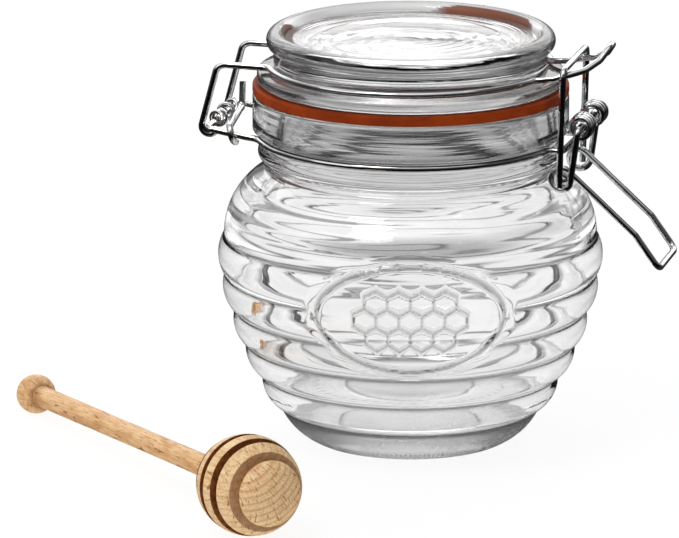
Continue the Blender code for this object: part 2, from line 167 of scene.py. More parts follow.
# Wires
WIRE = 0.0009
NECK_RING_RADIUS = 0.0414
NECK_RING_HEIGHT = 0.0845
LID_RING_RADIUS = 0.0382
LID_RING_HEIGHT = 0.1037
NECK_RING_ENDS = (-20.5, -150.0)
LID_RING_ENDS = (-22.0, -152.0)
RING_STEPS = 60
TONGUE = [(0.0415, -0.0120, 0.1043), (0.0452, -0.0112, 0.1053), (0.0496, -0.0084, 0.1064),
          (0.0528, -0.0050, 0.1085), (0.0549, -0.0024, 0.1116), (0.0549, 0.0, 0.1118)]
TONGUE_ROOT_Y = -0.0123
HINGE = Vector((-0.0524, 0.0, 0.0868))
HINGE_ARM_Y = 0.0165
HINGE_ARM_BEND_X = -0.0425
HINGE_LEG_Y = 0.0140
HINGE_CORNER_X = -0.0500
CURL_RADIUS = 2 * WIRE + FIT
AXLE = Vector((0.0487, 0.0, 0.0910))
COIL_RADIUS = 0.0026
COIL_PITCH = 0.0021
COIL_TURNS = 2.75
COIL_OUTER_Y = 0.0110
COIL_STEPS = 110
LEVER_ARM_Y = 0.0133
LEVER_LEG_Y = 0.0112
HOOK_LEG_Y = 0.0154
HOOK_BAR = Vector((0.0450, 0.0, 0.1075))
HOOK_END = Vector((0.0441, 0.0, 0.0756))
EYE_CENTRE = Vector((0.04395, 0.0, 0.0772))
EYE_RADIUS = 0.0028
HANDLE_ANGLES = (math.radians(-42.0), math.radians(-54.0))
HANDLE_LENGTHS = (0.0245, 0.0112)
TIE_STUB = [(-0.0470, 0.0015, 0.0960), (-0.0470, 0.0005, 0.0893), (-0.0466, -0.0100, 0.0893)]
TIE_LOOP_CENTRE = Vector((-0.0470, -HINGE_ARM_Y, 0.0858))
TIE_LOOP_RADIUS = 0.0023
TIE_LOOP_DRIFT = 0.0024

# Thin turns of the tie wire round the hinge bar; swell and sway are (size, turns for each turn)
TIE_WRAPS = 5.5
TIE_WRAP_STEPS = 150
TIE_WRAP_RADIUS = 0.0018
TIE_WRAP_WIRE = 0.00045
TIE_WRAP_ENDS = (-0.0070, 0.0105)
TIE_WRAP_SWELL = (0.0004, 0.37)
TIE_WRAP_SWAY = (0.0016, 0.43)
TIE_WRAP_TAIL = Vector((0.0024, 0.0006, 0.0018))

# Honey dipper; its knob's neck and groove are measured back from the knob's middle
DIPPER_LENGTH = 0.1550
DIPPER_HEAD_LENGTH = 0.0316
DIPPER_HEAD_RADIUS = 0.0132
DIPPER_HEAD_MIDDLE = 0.0170
DIPPER_HEAD_HALF = 0.0160
DIPPER_CORE = 0.0078
DIPPER_GROOVES = ((0.0050, 0.0074), (0.0112, 0.0138), (0.0172, 0.0196), (0.0230, 0.0254))
DIPPER_GROOVE_SLOPE = 0.0003
DIPPER_STEM_RADIUS = (0.0032, 0.0029)
DIPPER_NECK_RADIUS = 0.0023
DIPPER_KNOB_RADIUS = 0.0054
DIPPER_KNOB_NECK = (0.0090, 0.0058, 0.0050, 0.0044)
DIPPER_KNOB_GROOVE = (0.0047, 0.0006)
DIPPER_BURNT = (0.0045, 0.0262)
DIPPER_HEAD_AT = Vector((-0.0194, -0.1014, 0.0))
DIPPER_YAW = math.radians(130.5)
DIPPER_SINK = 0.0002
WALL_SHARES = (0.03, 0.08, 0.2, 0.5, 1.0)

# Beech: where the tree's pith lies beside the dipper's axis, and how close its rings are
PITH = (-0.021, 0.012)
RING_DENSITY = 3500.0

# Camera, as the photograph was taken
CAMERA_AZIMUTH = math.radians(13.0)
CAMERA_ELEVATION = math.radians(14.1)
CAMERA_DISTANCE = 2.0
CAMERA_TARGET = Vector((0.0, 0.0, 0.055))
CAMERA_AIM_LEFT = 0.01916
CAMERA_AIM_DOWN = 0.0080
CAMERA_LENS_MM = 392.3

# Studio: brightness of the tent, of the camera's side, along the horizon and below it, and round
# patches as (turn from the camera's side, rise, spread, all in degrees, and brightness)
TENT_LIGHT = 0.75
FRONT_LIGHT = 0.08
HORIZON_LIGHT = 0.22
LOW_LIGHT = 0.04
PATCHES = [(180.0, 26.0, 38.0, 2.0), (180.0, 15.0, 20.0, 2.0), (-90.0, 8.0, 30.0, 0.30),
           (90.0, 8.0, 30.0, 0.12), (-60.0, 30.0, 22.0, 1.3), (0.0, 70.0, 16.0, 1.3),
           (98.0, 36.0, 30.0, 0.08)]
GROUND_GLOW = 0.92
GROUND_TONE = 0.10
GROUND_WHITE_TO = 0.80
GROUND_DARK_FROM = 1.50

# Where the studio's light changes, as the share of a direction that points at the camera's side
# or up
FRONT_EDGE = (0.05, 0.45)
FRONT_TOP = (0.50, 0.75)
GROUND_LINE = (-0.06, 0.0)
HORIZON_TOP = (0.08, 0.22)
KEY_LIGHT_SIZE = (0.5, 0.5)
KEY_LIGHT_POWER = 5.0


def bow(start, end, bulge, count):
    """Points of the circular arc from start to end, in (radius, height), bowed to the right of
    the way from start to end by bulge; the first point is left out"""
    start, end = Vector(start), Vector(end)
    chord = end - start
    along = chord.normalized()
    outward = Vector((along.y, -along.x))
    radius = (chord.length_squared / 4 + bulge * bulge) / (2 * bulge)
    centre = (start + end) / 2 - outward * (radius - bulge)
    half = math.asin(chord.length / 2 / radius)
    angles = [half * (2 * k / count - 1) for k in range(1, count + 1)]
    return [centre + outward * radius * math.cos(a) + along * radius * math.sin(a) for a in angles]


def corner(centre, radius, start_degrees, end_degrees, count=8):
    """Points of a rounded corner, in (radius, height), about centre"""
    angles = [math.radians(start_degrees + (end_degrees - start_degrees) * k / count)
              for k in range(count + 1)]
    return [Vector((centre[0] + radius * math.cos(a), centre[1] + radius * math.sin(a)))
            for a in angles]


def curved(spots, steps):
    """A smooth line through the spots, each span in the given number of steps"""
    spots = [Vector(spot) for spot in spots]
    line = [spots[0]]
    for k in range(len(spots) - 1):
        before = spots[max(k - 1, 0)]
        after = spots[min(k + 2, len(spots) - 1)]
        here, there = spots[k], spots[k + 1]
        for step in range(1, steps + 1):
            t = step / steps
            line.append(((2 * here) + (there - before) * t
                         + (2 * before - 5 * here + 4 * there - after) * t * t
                         + (3 * here - before - 3 * there + after) * t * t * t) / 2)
    return line


def softened(outline, passes):
    """The same outline with its creases rounded; its ends stay"""
    for _ in range(passes):
        inner = [(a + 2 * b + c) / 4 for a, b, c in zip(outline, outline[1:], outline[2:])]
        outline = [outline[0]] + inner + [outline[-1]]
    return outline


def turned_mesh(name, outline, sweeps, closed=False):
    """The outline, in (radius, height), spun about Z through each (start, angle, steps) sweep"""
    mesh = bmesh.new()
    for start, angle, steps in sweeps:
        turn = Matrix.Rotation(start, 3, "Z")
        points = [mesh.verts.new(turn @ Vector((p[0], 0.0, p[1]))) for p in outline]
        pairs = list(zip(points, points[1:]))
        if closed:
            pairs.append((points[-1], points[0]))
        edges = [mesh.edges.new(pair) for pair in pairs]
        bmesh.ops.spin(mesh, geom=points + edges, cent=(0, 0, 0), axis=(0, 0, 1), dvec=(0, 0, 0),
                       angle=angle, steps=steps, use_merge=False, use_duplicate=False)
    bmesh.ops.remove_doubles(mesh, verts=mesh.verts, dist=1e-6)
    bmesh.ops.recalc_face_normals(mesh, faces=mesh.faces)
    data = bpy.data.meshes.new(name)
    mesh.to_mesh(data)
    mesh.free()
    return data


def places(data):
    """The mesh's vertices as a table of x, y and z"""
    spots = np.empty(len(data.vertices) * 3, dtype=np.float32)
    data.vertices.foreach_get("co", spots)
    return spots.reshape(-1, 3).astype(np.float64)


def move_to(data, spots):
    data.vertices.foreach_set("co", spots.astype(np.float32).ravel())
    data.update()


def bell(values, middle, reach):
    """1 where the values are at the middle, falling softly to 0 past the reach"""
    return np.exp(-((values - middle) / reach) ** 2)


def turned_from(spots, middle):
    """How far round the axis each spot lies from the middle, from -pi to pi"""
    turn = np.arctan2(spots[:, 1], spots[:, 0])
    return (turn - middle + np.pi) % (2 * np.pi) - np.pi


def lobes(spots, turns):
    """Soft lobes round the axis, one for each (turn, reach), added up"""
    return sum(bell(turned_from(spots, at), 0.0, reach) for at, reach in turns)


def add_piece(name, data, finish, body, node, sharp_degrees=40.0):
    """A new piece that stands for a CAD node and moves with its body"""
    data.materials.clear()
    data.materials.append(finish)
    data.shade_smooth()
    data.set_sharp_from_angle(angle=math.radians(sharp_degrees))
    piece = bpy.data.objects.new(name, data)
    bpy.context.collection.objects.link(piece)
    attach(piece, body)
    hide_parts(node)
    return piece


def bent(corners, radius, steps=8):
    """A wire's centre line through the corners, each inner corner rounded to the radius"""
    line = [corners[0]]
    for before, here, after in zip(corners, corners[1:], corners[2:]):
        back, ahead = (before - here), (after - here)
        half = back.angle(ahead) / 2
        reach = min(radius / math.tan(half), 0.48 * back.length, 0.48 * ahead.length)
        bend = reach * math.tan(half)
        back.normalize()
        ahead.normalize()
        centre = here + (back + ahead).normalized() * bend / math.sin(half)
        first, last = here + back * reach - centre, here + ahead * reach - centre
        turn = first.angle(last)
        for k in range(steps + 1):
            share = k / steps
            weights = (math.sin((1 - share) * turn), math.sin(share * turn))
            line.append(centre + (first * weights[0] + last * weights[1]) / math.sin(turn))
    line.append(corners[-1])
    return line


def ring_run(radius, height, start_degrees, end_degrees, count):
    angles = [math.radians(start_degrees + (end_degrees - start_degrees) * k / count)
              for k in range(count + 1)]
    return [Vector((radius * math.cos(a), radius * math.sin(a), height)) for a in angles]


def mirrored(points):
    """The same points on the other side of the XZ plane, in the opposite order"""
    return [Vector((p.x, -p.y, p.z)) for p in reversed(points)]


def tangent_end(radius, height, degrees, side, to_y):
    """Where the line that leaves a ring at an azimuth, along its tangent, reaches y = to_y"""
    a = math.radians(degrees)
    start = Vector((radius * math.cos(a), radius * math.sin(a), height))
    along = Vector((-math.sin(a), math.cos(a), 0.0)) * side
    return start + along * ((to_y - start.y) / along.y)


def wire_mesh(name, lines, thickness=WIRE, closed=False):
    """Round wires along the lines, as one mesh"""
    curve = bpy.data.curves.new(name + "_line", "CURVE")
    curve.dimensions = "3D"
    for points in lines:
        spline = curve.splines.new("POLY")
        spline.points.add(len(points) - 1)
        for spot, point in zip(spline.points, points):
            spot.co = (*point, 1.0)
        spline.use_cyclic_u = closed
        spline.use_smooth = True
    curve.bevel_depth = thickness
    curve.bevel_resolution = 4
    curve.use_fill_caps = not closed
    holder = bpy.data.objects.new(name + "_line", curve)
    data = bpy.data.meshes.new_from_object(holder)
    data.name = name
    bpy.data.objects.remove(holder)
    bpy.data.curves.remove(curve)
    return data


class Value:
    """One output of a material's nodes, which takes part in sums and products"""

    def __init__(self, paint, socket):
        self.paint = paint
        self.socket = socket

    def maths(self, operation, *others):
        return self.paint.node("ShaderNodeMath", {"operation": operation}, (self, *others))

    def __add__(self, other):
        return self.maths("ADD", other)

    __radd__ = __add__

    def __mul__(self, other):
        return self.maths("MULTIPLY", other)

    __rmul__ = __mul__

    def __sub__(self, other):
        return self.maths("SUBTRACT", other)

    def __rsub__(self, other):
        return self * -1.0 + other

    def __pow__(self, other):
        return self.maths("POWER", other)

    def ramp(self, low, high, to_low=0.0, to_high=1.0):
        """to_low where this is low, to_high where it is high, with a soft change between"""
        return self.paint.node("ShaderNodeMapRange", {"interpolation_type": "SMOOTHSTEP"},
                               (self, low, high, to_low, to_high))


class Paint:
    """A node tree that is built up one node at a time"""

    def __init__(self, owner):
        owner.use_nodes = True
        self.owner = owner
        self.tree = owner.node_tree

    def node(self, kind, settings=None, inputs=(), output=0):
        """Adds a node; inputs go by number or, in a dictionary, by name"""
        made = self.tree.nodes.new(kind)
        for name, value in (settings or {}).items():
            setattr(made, name, value)
        pairs = inputs.items() if isinstance(inputs, dict) else enumerate(inputs)
        for key, value in pairs:
            self.feed(made.inputs[key], value)
        return Value(self, made.outputs[output])

    def feed(self, socket, value):
        if isinstance(value, Value):
            self.tree.links.new(value.socket, socket)
        else:
            socket.default_value = value

    def shader(self, **inputs):
        """Sets the Principled shader's inputs; an underscore in a name stands for a space"""
        shader = self.tree.nodes["Principled BSDF"]
        for name, value in inputs.items():
            self.feed(shader.inputs[name.replace("_", " ")], value)

    def place(self):
        return self.node("ShaderNodeTexCoord", output="Object")

    def attribute(self, name, output="Fac"):
        return self.node("ShaderNodeAttribute", {"attribute_name": name}, output=output)

    def parts(self, vector):
        """The x, y and z of a vector"""
        split = self.node("ShaderNodeSeparateXYZ", {}, (vector,)).socket.node
        return [Value(self, socket) for socket in split.outputs]

    def scaled(self, vector, factors):
        return self.node("ShaderNodeVectorMath", {"operation": "MULTIPLY"}, (vector, factors))

    def noise(self, vector, scale, detail=2.0, roughness=0.5):
        return self.node("ShaderNodeTexNoise", {}, {"Vector": vector, "Scale": scale, "Detail": detail,
                                                    "Roughness": roughness}, "Fac")

    def mix(self, share, first, second):
        """A colour between two colours"""
        return self.node("ShaderNodeMix", {"data_type": "RGBA"}, {0: share, 6: first, 7: second}, 2)

    def bump(self, height, distance, strength=1.0):
        return self.node("ShaderNodeBump", {}, {"Height": height, "Distance": distance,
                                                "Strength": strength})


def colour(red, green, blue):
    """A screen colour, 0 to 255, as the light values that a shader takes"""
    return tuple(((c / 255 + 0.055) / 1.055) ** 2.4 if c > 10 else c / 255 / 12.92
                 for c in (red, green, blue)) + (1.0,)


def glass_paint(name, clear, grey, wave_depth):
    """Clear pressed glass: painted shade makes it greyer in its creases, and level streaks of painted
    shade and relief lie where it is thick or drawn out; traces of handling; the mesh says where its
    creases, thick parts, drawn-out folds and frosted places lie, and where the orange seal's colour is
    painted on as a brown reflection"""
    paint = Paint(bpy.data.materials.new(name))
    place = paint.place()
    streaks = paint.noise(paint.scaled(place, (14.0, 14.0, 620.0)), 1.0, 2.0, 0.5)
    waves = paint.noise(place, 45.0, 1.0)
    wiped = paint.noise(place, 90.0, 4.0, 0.6)
    folds = paint.noise(paint.scaled(place, (14.0, 14.0, 190.0)), 1.0, 1.0, 0.4)
    crease_shade, thick, drawn, frosted, warm = (paint.attribute(kind) for kind in GLASS_KINDS)
    # Painted shade: the glass is greyed in its creases, where it is thick and in its drawn-out folds
    shade = crease_shade + thick * streaks.ramp(0.3, 0.7, 0.35, 1.0)
    shade += drawn * folds.ramp(0.5, 0.62, 0.0, 0.55)
    tone = paint.mix(shade, (clear, clear, clear, 1.0), (grey, grey, grey * 1.01, 1.0))
    # Painted reflection of the orange seal seen through the glass, in brown
    tone = paint.mix(warm, tone, colour(90, 24, 6))
    relief = waves * wave_depth + thick * streaks * 0.00010 + drawn * folds * 0.0016
    dull = wiped.ramp(0.35, 0.75, 0.0, 0.025) + thick * 0.06 + frosted * 0.24 + warm * 0.50
    paint.shader(Base_Color=tone, Transmission_Weight=1.0, IOR=1.5, Roughness=dull,
                 Normal=paint.bump(relief, 1.0))
    return paint.owner


def set_amounts(data, name, amounts):
    """Keeps a number from 0 to 1 for each vertex, for the materials to read"""
    values = np.clip(amounts, 0, 1).astype(np.float32)
    data.attributes.new(name, "FLOAT", "POINT").data.foreach_set("value", values)


def rubber_paint():
    """Orange rubber, a little mottled, with a fine moulded grain"""
    paint = Paint(bpy.data.materials.new("orange_rubber_seal"))
    place = paint.place()
    mottle = paint.noise(place, 160.0, 3.0)
    grain = paint.noise(place, 2600.0, 2.0)
    tone = paint.mix(mottle.ramp(0.3, 0.7), colour(132, 46, 4), colour(156, 58, 6))
    paint.shader(Base_Color=tone, Roughness=grain.ramp(0.2, 0.8, 0.5, 0.65), Specular_IOR_Level=0.1,
                 Normal=paint.bump(grain, 0.00004))
    return paint.owner


def steel_paint():
    """Bright plated wire with faint drawing marks"""
    paint = Paint(bpy.data.materials.new("bright_plated_wire"))
    place = paint.place()
    marks = paint.noise(place, 900.0, 3.0)
    clouds = paint.noise(place, 120.0, 2.0)
    tone = paint.mix(clouds.ramp(0.3, 0.7), colour(204, 205, 207), colour(228, 228, 228))
    paint.shader(Base_Color=tone, Metallic=1.0, Roughness=marks.ramp(0.3, 0.8, 0.03, 0.11),
                 Normal=paint.bump(marks, 0.00002))
    return paint.owner


def wood_paint():
    """Sanded beech: growth rings seen from the end and along, short dark flecks, burnt grooves"""
    paint = Paint(bpy.data.materials.new("sanded_beech"))
    place = paint.attribute("turning", "Vector")
    across, sideways, along = paint.parts(place)
    across, sideways = across - PITH[0], sideways - PITH[1]
    drift = paint.noise(paint.scaled(place, (60.0, 60.0, 9.0)), 1.0, 3.0)
    from_pith = (across ** 2.0 + sideways ** 2.0) ** 0.5
    rings = (from_pith * RING_DENSITY + drift * 6.0 + along * 12.0).maths("SINE")
    angle = sideways.maths("ARCTAN2", across)
    rays = paint.node("ShaderNodeCombineXYZ", {}, (from_pith * 420.0, angle * 60.0, along * 240.0))
    fine = paint.noise(paint.scaled(place, (2600.0, 2600.0, 160.0)), 1.0, 3.0)
    flecks = paint.noise(rays, 1.0, 1.0).ramp(0.62, 0.70)
    clouds = paint.noise(paint.scaled(place, (420.0, 420.0, 110.0)), 1.0, 2.0)
    # The head is painted lighter than the stem, as painted light falling on it; its late wood is a
    # little darker there and its clouds fainter
    head = along.ramp(0.029, 0.034, 1.0, 0.0)
    early = paint.mix(head, colour(246, 204, 150), colour(255, 222, 170))
    late = paint.mix(head, colour(220, 156, 100), colour(216, 146, 86))
    cap = along.ramp(0.0035, 0.0050, 1.0, 0.0)
    pale = paint.mix(rings.ramp(0.0, 1.0) * (0.30 + cap * 0.25), early, late)
    cloudy = clouds.ramp(0.42, 0.68, 0.0, 0.6) * (1.0 - head * 0.6)
    clouded = paint.mix(cloudy, pale, colour(206, 140, 76))
    grained = paint.mix(fine.ramp(0.35, 0.75, 0.0, 0.5), clouded, colour(190, 128, 70))
    flecked = paint.mix(flecks * 0.75, grained, colour(140, 72, 22))
    burnt = paint.attribute("burnt")
    charred = paint.mix(paint.noise(place, 700.0, 3.0).ramp(0.3, 0.7), colour(110, 52, 10),
                        colour(156, 88, 26))
    tone = paint.mix(burnt, flecked, charred)
    relief = fine * 0.6 + rings * 0.2
    paint.shader(Base_Color=tone, Roughness=fine.ramp(0.2, 0.8, 0.48, 0.66),
                 Normal=paint.bump(relief, 0.00008))
    return paint.owner


def ground_paint():
    """White ground that shines evenly, so that the ground stays white under the jar"""
    paint = Paint(bpy.data.materials.new("white_ground"))
    away = paint.node("ShaderNodeVectorMath", {"operation": "LENGTH"}, (paint.place(),), "Value")
    paint.shader(Base_Color=(GROUND_TONE, GROUND_TONE, GROUND_TONE, 1.0), Roughness=1.0,
                 Specular_IOR_Level=0.0, Emission_Color=(1.0, 1.0, 1.0, 1.0),
                 Emission_Strength=away.ramp(GROUND_WHITE_TO, GROUND_DARK_FROM, GROUND_GLOW, 0.3))
    return paint.owner


def plate_radius(heights):
    """The straight chords between the valleys, raised to the crests and smoothed"""
    stations = VALLEYS + [SHOULDER_TOP]
    radii = [spot[0] for spot in stations]
    levels = [spot[1] for spot in stations]
    near = [np.interp(heights + shift, levels, radii) for shift in np.linspace(-0.005, 0.005, 7)]
    return np.mean(near, axis=0) + PLATE_RISE


def honeycomb(across, up):
    """1 on the walls of a small field of six-sided cells, 0 away from them"""
    walls = np.zeros_like(across)
    for row, count in CELL_ROWS:
        for k in range(count):
            x = across - (k - (count - 1) / 2) * 2 * CELL_HALF
            z = up - row * math.sqrt(3.0) * CELL_HALF
            reach = np.abs(x)
            for turn in (60.0, 120.0):
                a = math.radians(turn)
                reach = np.maximum(reach, np.abs(x * math.cos(a) + z * math.sin(a)))
            walls = np.maximum(walls, bell(reach, CELL_HALF, CELL_LINE))
    return walls


def raise_plate(spots):
    """Lifts the valleys inside the oval to the crests, and adds the border and the honeycomb;
    also gives how deep in a crease or how near a raised line each spot lies, as the painted shade it
    takes"""
    radius = np.hypot(spots[:, 0], spots[:, 1])
    height = spots[:, 2]
    target = plate_radius(height)
    across = turned_from(spots, PLATE_AZIMUTH) * VALLEYS[-1][0]
    up = height - PLATE_HEIGHT
    oval = np.hypot(across / PLATE_HALF_WIDTH, up / PLATE_HALF_HEIGHT)
    outside = (radius > target - PLATE_RISE - WALL / 2) & (oval < 1.3) & (height > 0.02)
    lift = np.clip((1.0 + PLATE_EDGE / 2 - oval) / PLATE_EDGE, 0.0, 1.0)
    lift = lift * lift * (3 - 2 * lift)
    steepness = np.hypot(across / PLATE_HALF_WIDTH ** 2, up / PLATE_HALF_HEIGHT ** 2)
    border = bell((oval - BORDER_AT) * oval / np.maximum(steepness, 1e-6), 0.0, BORDER_WIDTH)
    relief = np.maximum(border * BORDER_RELIEF, honeycomb(across, up) * CELL_RELIEF) * lift
    raised = radius + (target - RIDGE_BULGE * 0.2 - radius) * lift + relief
    factor = np.where(outside, raised / np.maximum(radius, 1e-6), 1.0)
    spots[:, 0] *= factor
    spots[:, 1] *= factor
    outer = radius > target - PLATE_RISE - WALL / 2
    # Painted shade in the valleys between the ridges and beside the border and the honeycomb
    valleys = [bell(height, level, CREASE_REACH) for _, level in VALLEYS[1:]]
    lines = np.where(outside, lift * relief / BORDER_RELIEF * LINE_SHADE, 0.0)
    crease_shade = np.maximum(np.max(valleys, axis=0) * outer * (1.0 - np.where(outside, lift, 0.0)), lines)
    return spots, crease_shade


def press_grips(spots):
    """Short radial grips pressed into the ring that the jar stands on"""
    radius = np.hypot(spots[:, 0], spots[:, 1])
    ring = bell(radius, *GRIP_RING) * (spots[:, 2] < GRIP_BELOW)
    waves = np.cos(turned_from(spots, 0.0) * GRIP_COUNT)
    spots[:, 2] += ring * GRIP_DEPTH * (0.5 + 0.5 * waves)


def press_dots(spots):
    """A row of small dots above the standing ring, wider apart where the mesh is coarser; gives
    how strong the dot is at each spot"""
    turn = turned_from(spots, 0.0)
    fine = np.abs(turned_from(spots, PLATE_AZIMUTH)) < PLATE_SWEEP / 2
    row = np.clip(np.cos(turn * np.where(fine, DOT_COUNT, DOT_COUNT / 3)), 0.0, 1.0)
    dots = bell(spots[:, 2], *DOT_LEVEL) * row
    spots[:, 2] += dots * DOT_DEPTH
    return dots


def jar_outline():
    """From the axis at the underside, out, up the ridges, over the rim and down inside"""
    underside = curved(UNDERSIDE, 4) + [Vector((0.0225, 0.0)), Vector((0.0238, 0.0001))]
    ridges = [Vector((VALLEYS[0][0], 0.0006))]
    for k, (low, high) in enumerate(zip(VALLEYS, VALLEYS[1:])):
        arc = bow(low, high, RIDGE_BULGE, RIDGE_STEPS)
        ridges += arc[2:] if k == 0 else arc
    ridges += bow(VALLEYS[-1], SHOULDER_TOP, SHOULDER_BULGE, 30)
    ridges = softened(ridges, 1)
    neck = softened(curved(NECK, 5), 2)
    edge_height = RIM_HEIGHT - FINISH_CORNER
    rim = corner((FINISH_RADIUS - FINISH_CORNER, edge_height), FINISH_CORNER, 0, 90)
    rim += corner((MOUTH[0][0] + FINISH_CORNER, edge_height), FINISH_CORNER, 90, 180)
    inner = [Vector((r - WALL, z)) for r, z in VALLEYS[1:]]
    inside = [Vector(spot) for spot in MOUTH]
    inside += list(reversed(bow(inner[-1], inside[-1], SHOULDER_BULGE, 10)[:-1]))
    for high, low in zip(reversed(inner), reversed(inner[:-1])):
        inside += [high, (high + low) / 2 + Vector((INNER_SWELL, -INNER_SWELL / 2))]
    inside += [inner[0]] + [Vector(spot) for spot in FLOOR[:-1]]
    bowl = curved(inside, 3)
    return underside + ridges + neck + rim + bowl + [Vector(FLOOR[-1])]


def make_jar(glass):
    fine_start = PLATE_AZIMUTH - PLATE_SWEEP / 2
    sweeps = [(fine_start, PLATE_SWEEP, PLATE_STEPS),
              (fine_start + PLATE_SWEEP, 2 * math.pi - PLATE_SWEEP, REST_STEPS)]
    data = turned_mesh("jar_glass", jar_outline(), sweeps)
    spots, crease_shade = raise_plate(places(data))
    # Painted shade by height, greying the base, the neck and the rim
    grey = np.interp(spots[:, 2], *zip(*JAR_SHADE))
    # The row of dots takes painted shade too
    crease_shade = np.maximum(crease_shade, press_dots(spots) * DOT_SHADE)
    height = spots[:, 2]
    radius = np.hypot(spots[:, 0], spots[:, 1])
    # The painted shade of the grey and of the folds is weaker on the back of the jar
    front = spots[:, :2] @ np.array(toward_camera()[:2]) / np.maximum(radius, 1e-6)
    share = BACK_SHARE + (1.0 - BACK_SHARE) * np.clip(0.5 + front * 2.0, 0.0, 1.0)
    drawn = np.interp(height, *zip(*DRAWN_OUT)) * (radius > DRAWN_BEYOND)
    frosted = np.interp(height, *zip(*FROSTED))
    for kind, amounts in zip(GLASS_KINDS, (crease_shade, grey * share, drawn * share, frosted)):
        set_amounts(data, kind, amounts)
    press_grips(spots)
    move_to(data, spots)
    return add_piece("jar_glass", data, glass, "jar", "jar")


def ring_outline(inner, outer, bottom, top, edge):
    """A flat ring's section with its four corners rounded to edge"""
    return (corner((outer - edge, bottom + edge), edge, -90, 0)
            + corner((outer - edge, top - edge), edge, 0, 90)
            + corner((inner + edge, top - edge), edge, 90, 180)
            + corner((inner + edge, bottom + edge), edge, 180, 270))


def make_gasket(rubber):
    bottom = RIM_HEIGHT + FIT
    outline = ring_outline(GASKET_INNER, FINISH_RADIUS, bottom, bottom + GASKET_THICKNESS, 0.0006)
    data = turned_mesh("gasket_ring", outline, [(0.0, 2 * math.pi, 128)], closed=True)
    return add_piece("gasket_ring", data, rubber, "lid", "gasket")


def lid_outline():
    """From the axis at the recess, out over the tube-like rim, down to the flange and plug"""
    recess = LID_TOP - LID_RECESS_DEPTH
    rim_height = LID_TOP - LID_RIM_TUBE
    flange_bottom = RIM_HEIGHT + 2 * FIT + GASKET_THICKNESS
    flange_top = flange_bottom + LID_FLANGE_THICKNESS
    step_at, step_over, step_height = DISH_STEP
    ripple_length, ripple_height = DISH_RIPPLE
    rings_from, ring_length, ring_height = DISH_RINGS
    dish = []
    for k in range(DISH_STEPS + 1):
        radius = LID_RECESS_RADIUS * k / DISH_STEPS
        step = step_height / (1 + math.exp((radius - step_at) / step_over))
        ripple = ripple_height * math.sin(radius / ripple_length * 2 * math.pi)
        if radius > rings_from:
            ripple += ring_height * math.sin((radius - rings_from) / ring_length * 2 * math.pi)
        dish.append(Vector((radius, recess - DISH_SINK + step + ripple)))
    outline = dish + corner((LID_RIM_RADIUS, rim_height), LID_RIM_TUBE, 168, -66, 26)
    outline += [Vector((LID_NECK_RADIUS, rim_height - LID_RIM_TUBE - LID_NECK_FILLET)),
                Vector((LID_NECK_RADIUS - 0.0001, (rim_height - LID_RIM_TUBE + flange_top) / 2)),
                Vector((LID_NECK_RADIUS, flange_top + LID_NECK_FILLET))]
    edge = LID_EDGE
    outline += corner((LID_FLANGE_RADIUS - edge, flange_top - edge), edge, 80, 0)
    outline += corner((LID_FLANGE_RADIUS - edge, flange_bottom + edge), edge, 0, -90)
    outline += [Vector((PLUG_OUTER, flange_bottom))]
    outline += corner((PLUG_OUTER - edge, PLUG_BOTTOM + edge), edge, 0, -90)
    outline += corner((PLUG_INNER + edge, PLUG_BOTTOM + edge), edge, -90, -180)
    hollow = curved([(PLUG_INNER, PLUG_BOTTOM + 2 * edge)] + LID_HOLLOW[:-1], 5)
    return outline + hollow[1:] + [Vector(LID_HOLLOW[-1])]


def sink_recess(spots):
    """Makes the floor of the lid's recess uneven; gives how uneven each spot is"""
    radius = np.hypot(spots[:, 0], spots[:, 1])
    floor = LID_TOP - LID_RECESS_DEPTH - DISH_DEEPEST
    dish = (radius < LID_RECESS_RADIUS - DISH_EDGE) & (spots[:, 2] > floor)
    waves = np.sin(radius / LID_WAVE_LENGTH * 2 * np.pi)
    uneven = dish * sum(bell(np.hypot(spots[:, 0] - x, spots[:, 1] - y), 0.0, reach) * share
                        for x, y, reach, share in LID_UNEVEN)
    x, y, reach, depth = LID_DIMPLE
    dimple = bell(np.hypot(spots[:, 0] - x, spots[:, 1] - y), 0.0, reach) * depth
    at, reach, depth = LID_GROOVE
    groove = bell(radius, at, reach) * depth * lobes(spots, LID_GROOVE_TURNS)
    spots[:, 2] += waves * uneven * LID_WAVE_DEPTH - dish * (dimple + groove)
    return uneven * (0.6 + 0.4 * waves)


def make_lid(glass):
    data = turned_mesh("lid_glass", lid_outline(), [(0.0, 2 * math.pi, 180)])
    spots = places(data)
    radius = np.hypot(spots[:, 0], spots[:, 1])
    side = np.clip((radius - LID_SIDE[0]) / LID_SIDE[1], 0.0, 1.0)
    # Where the painted reflection of the orange seal lies: crescents beside the recess and the plug's
    # side that faces the seal
    beside = lobes(spots, CRESCENT_TURNS)
    width = CRESCENT_WIDTH * np.clip(beside * 1.4, 0.0, 1.0)
    upper = (radius > CRESCENT_RADIUS) & (radius < CRESCENT_RADIUS + width)
    upper &= spots[:, 2] > CRESCENT_LEVEL
    inner, outer, top = PLUG_REFLECTING
    plug = (radius > inner) & (radius < outer) & (spots[:, 2] < top)
    uneven = sink_recess(spots)
    move_to(data, spots)
    # Painted shade in the crease below the rim and on the uneven places of the recess
    level, reach, amount = LID_CREASE
    crease_shade = side * bell(spots[:, 2], level, reach) * amount + uneven * 0.5
    set_amounts(data, "crease_shade", crease_shade)
    set_amounts(data, "thick", side)
    # Painted reflection of the orange seal: the crescents, the plug, and a little on the uneven places
    # of the recess
    set_amounts(data, "warm", upper * beside * 1.8 + plug * PLUG_SEAL_REFLECTION + uneven * 0.2)
    return add_piece("lid_glass", data, glass, "lid", "lid")


